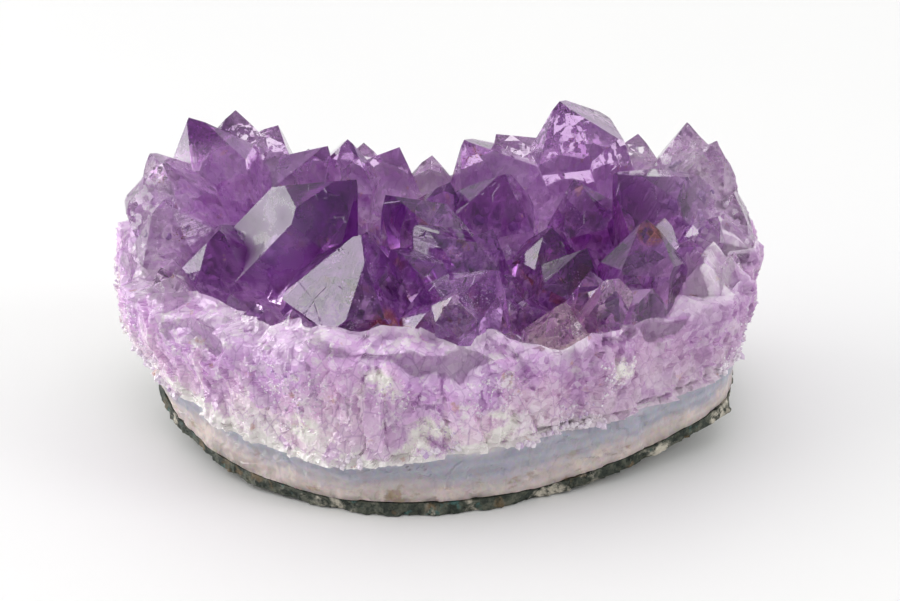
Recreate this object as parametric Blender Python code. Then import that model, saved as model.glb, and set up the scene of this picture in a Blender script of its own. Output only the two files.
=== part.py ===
"""An amethyst cluster on its rock: basalt rind, agate band and a crust of quartz points.

Sizes are in millimetres and become metres where a mesh is made. +X is to the right, +Y to the
back and +Z up. The origin is at the middle of the footprint, on the surface that the stone rests on.
"""

import math
import random

import bmesh
import bpy
import numpy as np
from mathutils import Matrix, Vector, noise

MM = 0.001
GAP = 0.3
SEED = 45

# Where the middle of the finished stone comes out. It is moved to the origin.
MIDDLE = (-0.56, -1.15)

# The broken edge seen from above, counter-clockwise from the front. Each row holds a point of
# the rock's outline, then the point above it where the crystals reach furthest.
OUTLINE = (
    (-10, -43, -10, -43),
    (8, -41.5, 8, -41.5),
    (24, -35.5, 24, -35.5),
    (40, -28, 40, -28),
    (58.5, -14, 59, -13),
    (62, 3, 66, 4),
    (61.5, 20, 65.5, 22),
    (53, 32, 56, 34),
    (37, 38, 38, 40.5),
    (14, 40, 14, 42.5),
    (-12, 39, -12, 42),
    (-35, 36, -38, 39.5),
    (-53, 28, -56, 30),
    (-63, 15, -66, 16),
    (-61, 0, -67, 0),
    (-54, -15.5, -58, -19),
    (-43, -29.5, -43, -30.5),
    (-25, -40, -25, -40.5),
)
SIDES = 72
RINGS = (0.3, 0.58, 0.82)

# Half the length and half the depth of the stone.
HALF_LENGTH, HALF_DEPTH = 66, 42

# The flat patch that it stands on, which narrows to the left at its back. Past it the underside
# rises by the first number over the second one.
FLAT_LEFT, FLAT_RIGHT, FLAT_BACK = -20, 20, 16
FLAT_SKEW = 0.82
LEFT_RISE, LEFT_RUN = 6, 47
RIGHT_RISE, RIGHT_RUN = 8, 46
BACK_RISE, BACK_RUN = 9, 26

RIND_THICKNESS = 2.6
RIND_ROWS = 2
RIND_LUMP = 1.0
AGATE_ROWS = 3
AGATE_LUMP = 0.9

# The agate leans out at its left end, from nothing at the first place to this share at the second.
FLARE = 0.075
FLARE_X = (-48, -60)

# Height of the top of the agate from left to right, and its share of the rise of the underside
# at the back.
AGATE_X = (-62, -51, -42, -18, 2, 32, 56, 63)
AGATE_Z = (18, 15.5, 13, 11.5, 15, 16, 17.5, 19)
AGATE_FOLLOW = 0.8

# The pale quartz that the points grow from is a shallow bowl.
BED_MIDDLE, BED_RIM = 24, 37
BED_LUMP = 6

# How far the crust reaches past its wall and its bottom before it is trimmed to them.
SPARE_WIDTH, SPARE_DEPTH = 1.12, 4

# The height at which the crystals reach furthest, at the left end and at the right end, and how
# wide their broken wall is above that.
WIDEST_LEFT, WIDEST_RIGHT = 33, 40
WALL_Z = (34, 42, 50, 62, 72)
WALL_WIDTH = (1.0, 0.975, 0.93, 0.84, 0.74)
WALL_TOP = 72
WALL_ROWS = 11
WALL_CHIP = 3.6

# Quartz: the faces of a point stand at this angle to its long axis.
FACE_ANGLE = math.radians(38.2)
SET_BACK = (0.02, 0.16)
ROOT_Z = 17

# Each point: its tip, how far it leans to the right and to the back for each millimetre
# that it rises, its width across the flats, and the turn of its faces in degrees.
POINTS = (
    # The left group.
    (-53, 18, 60, -0.33, 0.05, 20, 51),
    (-60, 6, 57, -0.35, -0.1, 19, 10),
    (-57, -2, 50, -0.25, -0.25, 20, 24),
    (-44.5, -14, 49, -0.1, -0.42, 17, 30),
    (-36, -28, 40, -0.15, -0.3, 14, 12),
    (-40, 4, 43, 0.3, 0.1, 14, 40),
    (-61, 20, 50, -0.5, 0.2, 14, 0),
    # The row along the back.
    (-44, 28, 57.5, 0.0, 0.05, 16, 30),
    (-35, 28, 54, 0.33, 0.05, 16, 8),
    (-24, 20, 52.6, 0.6, -0.1, 20, 22),
    (-20, 25, 52, 0.1, 0.0, 15, 45),
    (-17, 37, 46, 0.0, 0.2, 12, 30),
    (-9, 30, 48, 0.33, -0.05, 20, 18),
    (-2, 37, 43, 0.0, 0.25, 14, 15),
    (5, 28, 50.6, -0.55, -0.1, 22, 20),
    (12, 36, 48.5, -0.9, 0.0, 18, 30),
    (25.3, 26, 60.4, -0.35, -0.15, 19, 12),
    (43, 35, 49, 0.15, 0.1, 14, 30),
    (53, 28, 55, -0.1, 0.0, 20, 40),
    (59, 20, 54, 0.3, 0.0, 17, 15),
    (63, 8, 48, 0.4, -0.1, 17, 35),
    # The middle.
    (-17, -6, 56.5, 0.92, 0.05, 20, 30),
    (-11.5, 6, 47.6, -0.8, 0.0, 15, 30),
    (-5.2, -8, 47.1, -0.75, 0.0, 15, 15),
    (-10, -14, 44.6, -0.75, -0.05, 13, 15),
    (2, 16, 46, 0.2, 0.0, 13, 10),
    (13.7, 12, 49.7, 0.22, -0.25, 17, 0),
    (10.8, 0, 42.6, 0.4, 0.0, 14, 20),
    (23, 2, 42, 0.1, -0.1, 13, 45),
    (28, 13, 48, -0.3, 0.0, 15, 30),
    (30, -8, 42, 0.3, -0.1, 14, 5),
    (36, 8, 51.5, -1.0, -0.15, 21, 30),
    # The front and the right.
    (-15.6, -23, 52.2, 0.18, -0.1, 24, -14),
    (11.3, -28, 47, 0.67, -0.1, 17, 30),
    (30, -20, 42.8, -0.15, 0.0, 12, 30),
    (24.7, -30, 41, 0.1, 0.0, 14, 10),
    (12.7, -33, 37, 0.0, -0.1, 13, 40),
    (-12, -36, 39.5, 0.1, -0.1, 20, 30),
    (41.7, -10, 49.6, 0.05, 0.25, 16, 30),
    (46, -4, 47, 0.3, 0.1, 13, 50),
    (51, -10, 45, 0.25, -0.2, 17, 20),
)

# The small points that fill the bed between the large ones.
FILL_STEP = 9.5
FILL_SHAKE = 2
FILL_WIDTH = (7, 11)
FILL_RISE = (6, 14)
FILL_LEAN, FILL_LEAN_OUT = 0.35, 0.3
FILL_CLEAR = 0.5


def rim(turn):
    """The outline at a turn from 0 to 1, as a smooth closed curve through its points."""
    place = turn * len(OUTLINE)
    start = int(place)
    f = place - start
    a, b, c, d = (Vector(OUTLINE[(start + k) % len(OUTLINE)]) for k in (-1, 0, 1, 2))
    curve = 2 * b + (c - a) * f + (2 * a - 5 * b + 4 * c - d) * f**2 + (3 * b - a - 3 * c + d) * f**3
    return curve / 2


def back_rise(x, y):
    """How far the underside has risen towards the back, which starts earlier to the left."""
    start = FLAT_BACK - FLAT_SKEW * max(0, FLAT_LEFT - x)
    return BACK_RISE * max(0, (y - start) / BACK_RUN) ** 1.3


def underside(x, y):
    """The bottom of the stone: flat in the middle, rising to the left, the right and the back."""
    left = LEFT_RISE * max(0, (FLAT_LEFT - x) / LEFT_RUN) ** 1.8
    right = RIGHT_RISE * max(0, (x - FLAT_RIGHT) / RIGHT_RUN) ** 1.3
    return left + right + back_rise(x, y)


def rind_top(x, y):
    return underside(x, y) + RIND_THICKNESS


def agate_top(x, y):
    return float(np.interp(x, AGATE_X, AGATE_Z)) + AGATE_FOLLOW * back_rise(x, y)


def agate_bottom(x, y):
    return rind_top(x, y) + GAP


def crust_bottom(x, y):
    return agate_top(x, y) + GAP


def crust_start(x, y):
    return agate_top(x, y) - SPARE_DEPTH


def outwards(x, y):
    """0 in the middle and about 1 at the broken edge."""
    return math.hypot(x / HALF_LENGTH, y / HALF_DEPTH)


def bed(x, y):
    """The top of the pale crust, higher towards the broken edge."""
    out = min(1.1, outwards(x, y))
    return BED_MIDDLE + (BED_RIM - BED_MIDDLE + BED_LUMP * lump(x, y, 0, 8, 4)) * out**3


def lump(x, y, z, size, seed):
    """Smooth bumps of about this size, from -1 to 1."""
    return noise.noise(Vector((x / size + 7.3 * seed, y / size - 3.1 * seed, z / size)))


def rind_wall(edge, z, up):
    """Crumbly at its lower edge, and flush with the agate at its upper one."""
    foot = edge.xy
    return foot + foot.normalized() * RIND_LUMP * (1 - up) * lump(*foot, z, 6, 1)


def flared(edge, up):
    """The rock's edge, further out towards the top of the agate at the left end."""
    start, full = FLARE_X
    share = min(1, max(0, (edge.x - start) / (full - start)))
    return edge.xy * (1 + FLARE * share * up)


def agate_wall(edge, z, up):
    """A bumpy break between two flush edges."""
    foot = flared(edge, up)
    return foot + foot.normalized() * AGATE_LUMP * 4 * up * (1 - up) * lump(*foot, z, 9, 2)


def broken_wall(edge, z, up):
    """The chipped break through the crystals: out from the rock's edge, then in towards the top."""
    foot, furthest = flared(edge, 1), edge.zw
    start = agate_top(*edge.xy)
    end = float(np.interp(foot.x, (-55, 62), (WIDEST_LEFT, WIDEST_RIGHT)))
    share = min(1, max(0, (z - start) / (end - start)))
    spot = foot.lerp(furthest, share) * float(np.interp(z, WALL_Z, WALL_WIDTH))
    chip = WALL_CHIP * min(1, 6 * up) * lump(spot.x, spot.y, z / 2.5, 5, 3)
    return spot + spot.normalized() * chip


def beyond_wall(edge, z, up):
    """Clear of the break, for a shape that is trimmed to it afterwards."""
    return edge.zw * SPARE_WIDTH


def layer(name, low, high, rows, wall):
    """A closed layer between two heights, with its wall in rows from the lower one to the upper one."""
    mesh = bmesh.new()
    edges = [rim(side / SIDES) for side in range(SIDES)]

    def wall_ring(up):
        heights = [low(*edge.xy) * (1 - up) + high(*edge.xy) * up for edge in edges]
        return [mesh.verts.new((*wall(edge, z, up), z)) for edge, z in zip(edges, heights)]

    def cap_ring(outer, share, height):
        spots = [vert.co.xy * share for vert in outer]
        return [mesh.verts.new((*spot, height(*spot))) for spot in spots]

    sides = [wall_ring(row / rows) for row in range(rows + 1)]
    bottom = [cap_ring(sides[0], share, low) for share in RINGS]
    top = [cap_ring(sides[-1], share, high) for share in reversed(RINGS)]
    rings = bottom + sides + top
    for lower, upper in zip(rings, rings[1:]):
        for i in range(SIDES):
            j = (i + 1) % SIDES
            mesh.faces.new((lower[i], lower[j], upper[j], upper[i]))
    for ring, height in ((rings[0], low), (rings[-1], high)):
        middle = mesh.verts.new((0, 0, height(0, 0)))
        for i in range(SIDES):
            mesh.faces.new((ring[i], ring[(i + 1) % SIDES], middle))
    bmesh.ops.triangulate(mesh, faces=mesh.faces)
    bmesh.ops.recalc_face_normals(mesh, faces=mesh.faces)
    return to_object(name, mesh)


def to_object(name, mesh):
    """An object in metres from a mesh in millimetres, with the middle of the stone at the origin."""
    mesh.transform(Matrix.Scale(MM, 4) @ Matrix.Translation((-MIDDLE[0], -MIDDLE[1], 0)))
    data = bpy.data.meshes.new(name)
    mesh.to_mesh(data)
    mesh.free()
    made = bpy.data.objects.new(name, data)
    bpy.context.scene.collection.objects.link(made)
    return made


def cut_away(mesh, place, normal):
    """Removes what is outside a plane, and closes the mesh with one flat face there."""
    everything = mesh.verts[:] + mesh.edges[:] + mesh.faces[:]
    bmesh.ops.bisect_plane(mesh, geom=everything, plane_co=place, plane_no=normal, clear_outer=True)
    open_edges = [edge for edge in mesh.edges if edge.is_boundary]
    bmesh.ops.holes_fill(mesh, edges=open_edges, sides=0)


def crystal_point(name, tip, lean, width, turn, luck):
    """A six-sided prism with six end faces. Three of them meet at the tip, and three are set back."""
    axis = Vector((*lean, 1)).normalized()
    length = (tip[2] - ROOT_Z) / axis.z
    corner = width / 2 / math.cos(math.radians(30))
    mesh = bmesh.new()
    bmesh.ops.create_cone(mesh, cap_ends=True, segments=6, radius1=corner, radius2=corner, depth=length,
                          matrix=Matrix.Translation((0, 0, -length / 2)))
    for face in range(6):
        around = math.radians(60 * face)
        out = math.cos(FACE_ANGLE)
        normal = (out * math.cos(around), out * math.sin(around), math.sin(FACE_ANGLE))
        set_back = width * luck.uniform(*SET_BACK) if face % 2 else 0
        cut_away(mesh, (0, 0, set_back), normal)
    upright = Vector((0, 0, 1)).rotation_difference(axis).to_matrix().to_4x4()
    mesh.transform(Matrix.Translation(tip) @ upright @ Matrix.Rotation(math.radians(turn), 4, "Z"))
    bmesh.ops.recalc_face_normals(mesh, faces=mesh.faces)
    return to_object(name, mesh)


def is_free(x, y, z):
    """Whether a place on the bed is clear of the large points there."""
    for tip_x, tip_y, tip_z, lean_x, lean_y, width, _ in POINTS:
        down = tip_z - z
        if math.hypot(x - tip_x + lean_x * down, y - tip_y + lean_y * down) < FILL_CLEAR * width:
            return False
    return True


def small_points(luck):
    """Small points on a shaken grid, wherever the bed shows between the large ones."""

    def shake(most):
        return luck.uniform(-most, most)

    found = []
    for row in range(-5, 6):
        for column in range(-8, 9):
            x = FILL_STEP * (column + 0.5 * (row % 2)) + shake(FILL_SHAKE)
            y = FILL_STEP * row * math.cos(math.radians(30)) + shake(FILL_SHAKE)
            z = bed(x, y) + luck.uniform(*FILL_RISE)
            lean_x = FILL_LEAN_OUT * x / HALF_LENGTH + shake(FILL_LEAN)
            lean_y = FILL_LEAN_OUT * y / HALF_DEPTH + shake(FILL_LEAN)
            size = (luck.uniform(*FILL_WIDTH), luck.uniform(0, 60))
            if outwards(x, y) < 0.97 and is_free(x, y, z):
                found.append((x, y, z, lean_x, lean_y, *size))
    return found


def helper(made):
    """Marks an object that only shapes another one."""
    made.hide_render = True
    made.display_type = "WIRE"
    return made


def coloured(made, colour, roughness, transmission=0.0):
    material = bpy.data.materials.new(made.name)
    material.use_nodes = True
    shader = material.node_tree.nodes["Principled BSDF"]
    shader.inputs["Base Color"].default_value = (*colour, 1)
    shader.inputs["Roughness"].default_value = roughness
    shader.inputs["Metallic"].default_value = 0
    shader.inputs["IOR"].default_value = 1.544
    shader.inputs["Transmission Weight"].default_value = transmission
    made.data.materials.append(material)
    return made


def make_rind():
    made = layer("basalt_rind", underside, rind_top, RIND_ROWS, rind_wall)
    return coloured(made, (0.035, 0.042, 0.032), 0.85)


def make_agate():
    made = layer("agate_band", agate_bottom, agate_top, AGATE_ROWS, agate_wall)
    return coloured(made, (0.33, 0.37, 0.42), 0.35)


def point_group(points, luck):
    """A collection with a helper solid for each point."""
    group = bpy.data.collections.new("points")
    bpy.context.scene.collection.children.link(group)
    for number, (x, y, z, lean_x, lean_y, width, turn) in enumerate(points):
        made = crystal_point(f"point_{number}", (x, y, z), (lean_x, lean_y), width, turn, luck)
        bpy.context.scene.collection.objects.unlink(made)
        group.objects.link(helper(made))
    return group


def make_crystals():
    """The crust and every point in one solid, broken off at the wall and at the agate."""
    luck = random.Random(SEED)
    crust = layer("amethyst_crystals", crust_start, bed, 1, beyond_wall)
    join = crust.modifiers.new("all the points", "BOOLEAN")
    join.operation = "UNION"
    join.operand_type = "COLLECTION"
    join.collection = point_group(POINTS + tuple(small_points(luck)), luck)
    wall = layer("broken_edge", crust_bottom, lambda x, y: WALL_TOP, WALL_ROWS, broken_wall)
    trim = crust.modifiers.new("broken edge", "BOOLEAN")
    trim.operation = "INTERSECT"
    trim.object = helper(wall)
    return coloured(crust, (0.24, 0.09, 0.42), 0.08, 0.8)


def main():
    for thing in list(bpy.data.objects):
        bpy.data.objects.remove(thing)
    cluster = bpy.data.objects.new("amethyst_cluster", None)
    bpy.context.scene.collection.objects.link(cluster)
    for made in (make_rind(), make_agate(), make_crystals()):
        made.parent = cluster


main()
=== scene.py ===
# %% [markdown]
# # An amethyst cluster on its rock
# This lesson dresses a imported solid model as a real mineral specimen: clear violet quartz points,
# the milky quartz that they grow from, a band of agate and a rind of basalt. Lengths are in
# millimetres while a shape is worked out, because that is how a stone is measured, and they
# become metres when a mesh is made.

import math

import bpy
import numpy as np
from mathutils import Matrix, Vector


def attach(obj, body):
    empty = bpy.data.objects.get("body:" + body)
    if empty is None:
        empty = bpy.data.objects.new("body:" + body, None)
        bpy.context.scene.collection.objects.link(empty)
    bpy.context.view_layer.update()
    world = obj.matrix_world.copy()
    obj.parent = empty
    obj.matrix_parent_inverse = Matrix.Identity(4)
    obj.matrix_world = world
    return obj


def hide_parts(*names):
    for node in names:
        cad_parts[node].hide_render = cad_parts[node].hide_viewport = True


MM = 0.001
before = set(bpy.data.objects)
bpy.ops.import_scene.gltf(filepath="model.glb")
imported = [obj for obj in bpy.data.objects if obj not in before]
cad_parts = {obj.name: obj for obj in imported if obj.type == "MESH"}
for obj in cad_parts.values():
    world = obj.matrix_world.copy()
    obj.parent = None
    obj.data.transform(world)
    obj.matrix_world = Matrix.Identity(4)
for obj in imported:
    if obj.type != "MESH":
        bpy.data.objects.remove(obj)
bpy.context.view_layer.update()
scene = bpy.context.scene
print("the solids are", ", ".join(sorted(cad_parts)))

# %% [markdown]
# ## The camera
# The photograph looks down at the stone from the front, with a long lens, so that near and far
# points look about the same size. A 100 mm lens half a metre away, 27 degrees up, puts each tip
# where the photograph has it.

# %% Camera
CAMERA_TARGET = Vector((2.5, 1.1, 26)) * MM
CAMERA_DISTANCE = 525 * MM
CAMERA_RISE = math.radians(27)
LENS, SENSOR_WIDTH, NEAREST = 100, 36, 0.01


def look_along(made, direction):
    """Turns a camera or a light so that it looks along a direction."""
    made.rotation_euler = Vector(direction).to_track_quat("-Z", "Y").to_euler()


camera = bpy.data.objects.new("camera", bpy.data.cameras.new("camera"))
camera.data.lens = LENS
camera.data.sensor_width = SENSOR_WIDTH
camera.data.clip_start = NEAREST
towards_camera = Vector((0, -math.cos(CAMERA_RISE), math.sin(CAMERA_RISE)))
camera.location = CAMERA_TARGET + CAMERA_DISTANCE * towards_camera
look_along(camera, -towards_camera)
scene.collection.objects.link(camera)
scene.camera = camera
print("the camera stands", round(camera.location.length, 3), "m from the stone")

# %% [markdown]
# ## A few helpers for materials
# A material is a small tree of nodes. These helpers add one node each and give back its output,
# so that a recipe reads from top to bottom. Every recipe starts from the place on the stone in
# millimetres, so the size of a speck or a streak is its real size.

# %% Helpers for materials
SPOT_CORE = 0.55


def srgb(red, green, blue):
    """A colour as a paint program shows it, 0 to 255, turned into the linear light of the shader."""
    shares = np.array((red, green, blue)) / 255
    linear = np.where(shares < 0.04045, shares / 12.92, ((shares + 0.055) / 1.055) ** 2.4)
    return (*linear.tolist(), 1)


def add(tree, kind, inputs, output=0, **settings):
    """Adds a node and gives back one output. Each input is a value or another node's output."""
    made = tree.nodes.new("ShaderNode" + kind)
    for key, value in settings.items():
        setattr(made, key, value)
    for socket, value in inputs.items():
        if isinstance(value, bpy.types.NodeSocket):
            tree.links.new(value, made.inputs[socket])
        else:
            made.inputs[socket].default_value = value
    return made.outputs[output]


def maths(tree, operation, first, second):
    return add(tree, "Math", {0: first, 1: second}, operation=operation)


def times(tree, first, second):
    return maths(tree, "MULTIPLY", first, second)


def plus(tree, first, second):
    return maths(tree, "ADD", first, second)


def fade(tree, value, low, high, start=0.0, end=1.0):
    """Goes smoothly from start to end while the value goes from low to high."""
    inputs = {"Value": value, "From Min": low, "From Max": high, "To Min": start, "To Max": end}
    return add(tree, "MapRange", inputs, interpolation_type="SMOOTHSTEP")


def mixed(tree, share, first, second):
    """A colour between two colours."""
    return add(tree, "MixRGB", {"Fac": share, "Color1": first, "Color2": second})


def ramp(tree, share, *stops):
    """A colour that changes along (place, colour) stops."""
    made = tree.nodes.new("ShaderNodeValToRGB")
    tree.links.new(share, made.inputs["Fac"])
    elements = made.color_ramp.elements
    for element, (place, colour) in zip(elements, (stops[0], stops[-1])):
        element.position, element.color = place, colour
    for place, colour in stops[1:-1]:
        elements.new(place).color = colour
    return made.outputs["Color"]


def stretched(tree, place, x, y, z):
    return add(tree, "VectorMath", {0: place, 1: (x, y, z)}, operation="MULTIPLY")


def axis(tree, place, letter):
    """One of the three numbers of a place."""
    return add(tree, "SeparateXYZ", {"Vector": place}, letter)


def clouds(tree, place, size, detail=4.0, roughness=0.55, twist=0.0):
    """Cloudy noise from 0 to 1, with its largest patches about this size."""
    inputs = {"Vector": place, "Scale": 1 / size, "Detail": detail, "Roughness": roughness,
              "Distortion": twist}
    return add(tree, "TexNoise", inputs)


def grains(tree, place, size):
    """Angular grains of about this size, each with a random colour."""
    return add(tree, "TexVoronoi", {"Vector": place, "Scale": 1 / size}, "Color")


def grain_values(tree, place, size):
    """A random number from 0 to 1 for each angular grain."""
    return add(tree, "SeparateColor", {"Color": grains(tree, place, size)})


def grain_edges(tree, place, size):
    """How far it is to the edge of the angular grain, in shares of its size."""
    return add(tree, "TexVoronoi", {"Vector": place, "Scale": 1 / size}, "Distance",
               feature="DISTANCE_TO_EDGE")


def bump(tree, height, millimetres, before=None):
    """Bends the light as if the height, from 0 to 1, stood this far out."""
    inputs = {"Height": height, "Distance": millimetres * MM}
    if before is not None:
        inputs["Normal"] = before
    return add(tree, "Bump", inputs)


def leaning(tree, place, size, tilt):
    """Tips the surface its own way in each angular grain, so that every grain glints by itself."""
    normal = add(tree, "NewGeometry", {}, "Normal")
    half = (0.5, 0.5, 0.5)
    lean = add(tree, "VectorMath", {0: grains(tree, place, size), 1: half}, operation="SUBTRACT")
    lean = add(tree, "VectorMath", {0: lean, "Scale": tilt}, operation="SCALE")
    lean = add(tree, "VectorMath", {0: normal, 1: lean}, operation="ADD")
    return add(tree, "VectorMath", {0: lean}, operation="NORMALIZE")


def near(tree, place, middle, size):
    """1 around a place on the stone, up to half-way out or so, and 0 from this far away."""
    away = add(tree, "VectorMath", {0: place, 1: middle}, "Value", operation="DISTANCE")
    return fade(tree, away, SPOT_CORE * size, size, 1.0, 0.0)


def attribute(tree, name):
    """A number that the mesh keeps for each of its corners."""
    return add(tree, "Attribute", {}, "Fac", attribute_name=name)


def new_material(name, **values):
    """A material with its Principled shader, its tree, and the place on the stone in millimetres."""
    material = bpy.data.materials.new(name)
    material.use_nodes = True
    tree = material.node_tree
    shader = tree.nodes["Principled BSDF"]
    for socket, value in values.items():
        shader.inputs[socket.replace("_", " ")].default_value = value
    place = stretched(tree, add(tree, "TexCoord", {}, "Object"), 1 / MM, 1 / MM, 1 / MM)
    return material, tree, shader, place


def finish_with(tree, shader, **links):
    """Links outputs to the shader. An underscore stands for the space in a socket's name."""
    for socket, value in links.items():
        tree.links.new(value, shader.inputs[socket.replace("_", " ")])


# %% [markdown]
# ## Light
# Quartz shows its faces by what they mirror. The photograph was taken in a white room with one
# large window on the left: the faces that tilt to the left mirror it and look silver. So there is
# a pale room that is brighter at the back than behind the camera, one big soft light on the left
# with a second one almost in its place that only mirroring faces see, and a small one on the
# right.

# %% World and lights
ROOM_FRONT, ROOM_BACK = 0.4, 1.15
ROOM_FADE = (-0.8, 0.4)

# The name, direction, distance, side, brightness and tint of each light, in metres.
LIGHTS = (
    ("window", (-0.9, -0.03, 0.43), 0.9, 0.8, 1.5, (1, 0.98, 0.97)),
    ("window shine", (-0.9, 0.1, 0.38), 0.92, 1.0, 4.4, (1, 1, 1)),
    ("right", (0.81, -0.2, 0.55), 1.1, 0.38, 4.5, (1, 1, 1)),
)


def soft_light(name, direction, distance, size, brightness, tint):
    """A square light that faces the stone. Its power is its brightness times pi times its area."""
    data = bpy.data.lights.new(name, "AREA")
    data.size = size
    data.energy = brightness * math.pi * size**2
    data.color = tint
    made = bpy.data.objects.new(name, data)
    made.location = CAMERA_TARGET + distance * Vector(direction).normalized()
    look_along(made, -Vector(direction))
    scene.collection.objects.link(made)
    return made


def white_room():
    """A world that is bright behind the stone and dim behind the camera."""
    made = bpy.data.worlds.new("white room")
    made.use_nodes = True
    tree = made.node_tree
    backwards = axis(tree, add(tree, "TexCoord", {}, "Generated"), "Y")
    background = tree.nodes["Background"]
    background.inputs["Color"].default_value = (1, 1, 1, 1)
    strength = fade(tree, backwards, *ROOM_FADE, ROOM_FRONT, ROOM_BACK)
    tree.links.new(strength, background.inputs["Strength"])
    return made


scene.world = white_room()
lights = {light[0]: soft_light(*light) for light in LIGHTS}
lights["window shine"].visible_diffuse = False
lights["window shine"].visible_transmission = False
scene.view_settings.view_transform = "Standard"
scene.cycles.max_bounces = 12
scene.cycles.transmission_bounces = 12
scene.cycles.glossy_bounces = 6
scene.cycles.diffuse_bounces = 3
scene.cycles.use_denoising = True
print("lights:", ", ".join(lights))

# %% [markdown]
# ## The shape of the stone in formulas
# The rock, the agate and the crust share one outline: a smooth closed curve through a few
# points, with the rock's own edge and the edge of the crystals above it. The heights between the
# layers are short formulas too. Having them here lets each finer surface lie exactly on the
# solid that it dresses.

# %% The outline and the layers
MIDDLE = np.array((-0.56, -1.15))
OUTLINE = np.array((
    (-10, -43, -10, -43), (8, -41.5, 8, -41.5), (24, -35.5, 24, -35.5), (40, -28, 40, -28),
    (58.5, -14, 59, -13), (62, 3, 66, 4), (61.5, 20, 65.5, 22), (53, 32, 56, 34),
    (37, 38, 38, 40.5), (14, 40, 14, 42.5), (-12, 39, -12, 42), (-35, 36, -38, 39.5),
    (-53, 28, -56, 30), (-63, 15, -66, 16), (-61, 0, -67, 0), (-54, -15.5, -58, -19),
    (-43, -29.5, -43, -30.5), (-25, -40, -25, -40.5),
), float)
HALF_LENGTH, HALF_DEPTH = 66, 42
FLAT_LEFT, FLAT_RIGHT, FLAT_BACK, FLAT_SKEW = -20, 20, 16, 0.82
LEFT_RISE, LEFT_RUN, RIGHT_RISE, RIGHT_RUN, BACK_RISE, BACK_RUN = 6, 47, 8, 46, 9, 26
RIND_THICKNESS, GAP = 2.6, 0.3
AGATE_X = (-62, -51, -42, -18, 2, 32, 56, 63)
AGATE_Z = (18, 15.5, 13, 11.5, 15, 16, 17.5, 19)
AGATE_FOLLOW = 0.8
FLARE, FLARE_X = 0.075, (-48, -60)
BED_MIDDLE, BED_RIM = 24, 37


def rim(turn):
    """The outline at turns from 0 to 1: a cubic through each pair of points, which leaves each one
    along the line between its neighbours."""
    place = (turn % 1) * len(OUTLINE)
    start = place.astype(int)
    f = (place - start)[..., None]
    a, b, c, d = (OUTLINE[(start + k) % len(OUTLINE)] for k in (-1, 0, 1, 2))
    curve = 2 * b + (c - a) * f + (2 * a - 5 * b + 4 * c - d) * f**2 + (3 * b - a - 3 * c + d) * f**3
    return curve[..., :2] / 2, curve[..., 2:] / 2


def back_rise(x, y):
    """Nothing up to a line, then the distance past it to the power 1.3."""
    start = FLAT_BACK - FLAT_SKEW * np.maximum(0, FLAT_LEFT - x)
    return BACK_RISE * np.maximum(0, (y - start) / BACK_RUN) ** 1.3


def underside(x, y):
    left = LEFT_RISE * np.maximum(0, (FLAT_LEFT - x) / LEFT_RUN) ** 1.8
    right = RIGHT_RISE * np.maximum(0, (x - FLAT_RIGHT) / RIGHT_RUN) ** 1.3
    return left + right + back_rise(x, y)


def rind_top(x, y):
    return underside(x, y) + RIND_THICKNESS


def agate_top(x, y):
    return np.interp(x, AGATE_X, AGATE_Z) + AGATE_FOLLOW * back_rise(x, y)


def flared(edge, up):
    """The rock's edge, which leans out towards the top of the agate at its left end."""
    share = np.clip((edge[..., 0] - FLARE_X[0]) / (FLARE_X[1] - FLARE_X[0]), 0, 1) * up
    return edge * (1 + FLARE * share)[..., None]


def outwards(x, y):
    """0 in the middle and about 1 at the edge."""
    return np.hypot(x / HALF_LENGTH, y / HALF_DEPTH)


def bed(x, y):
    """The bowl of pale quartz: its height grows with the cube of the distance out."""
    return BED_MIDDLE + (BED_RIM - BED_MIDDLE) * np.minimum(1.1, outwards(x, y)) ** 3


print("the outline is", np.ptp(OUTLINE[:, 2]), "mm long and", np.ptp(OUTLINE[:, 3]), "mm deep")

# %% [markdown]
# ## Roughness worked out with numpy
# Broken stone has two kinds of relief. Soft bumps come from smooth noise: random heights on a
# lattice, blended in between. Broken quartz is made of flat chips, each tilted its own way: space
# is shared out between scattered centres, and each centre carries a small tilted plane. Both
# work on whole arrays of places at once.

# %% Noise and chips
MIXERS = (73856093, 19349663, 83492791, 2654435761)
LAST_MIXER, HIGHEST = 1274126177, 0xFFFFFF
TINY = 1e-9


def random_at(cells, seed):
    """A number from 0 to 1 for each whole-numbered cell: its three numbers are multiplied by large
    primes and their bits mixed. Another seed gives another set."""
    x, y, z = (cells[..., k].astype(np.int64) for k in range(3))
    mix = (x * MIXERS[0]) ^ (y * MIXERS[1]) ^ (z * MIXERS[2]) ^ (seed * MIXERS[3])
    mix = (mix ^ (mix >> 13)) * LAST_MIXER
    return ((mix ^ (mix >> 16)) & HIGHEST) / HIGHEST


def smooth_noise(place, size, seed):
    """From -1 to 1: the eight corner values of a cell, blended by s = 3f^2 - 2f^3 along each axis."""
    scaled = place / size
    corner = np.floor(scaled)
    f = scaled - corner
    s = f * f * (3 - 2 * f)
    total = 0
    for step in np.ndindex(2, 2, 2):
        weight = np.prod(np.where(step, s, 1 - s), axis=-1)
        total = total + weight * random_at(corner + step, seed)
    return 2 * total - 1


def chips(place, size, seed):
    """The nearest scattered centre: the way from it in shares of the size, and its three random
    numbers. Each cell of this size has one centre, so the nearest is in the 27 cells around."""
    scaled = place / size
    corner = np.floor(scaled)
    nearest = np.full(place.shape[:-1], 9.0)
    way = np.zeros_like(place)
    luck = np.zeros_like(place)
    for step in np.ndindex(3, 3, 3):
        cell = corner + step - 1
        rand = np.stack([random_at(cell, seed + k) for k in range(3)], axis=-1)
        offset = scaled - (cell + rand)
        distance = np.linalg.norm(offset, axis=-1)
        closer = distance < nearest
        way = np.where(closer[..., None], offset, way)
        luck = np.where(closer[..., None], rand[..., ::-1], luck)
        nearest = np.minimum(nearest, distance)
    return way, luck


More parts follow.
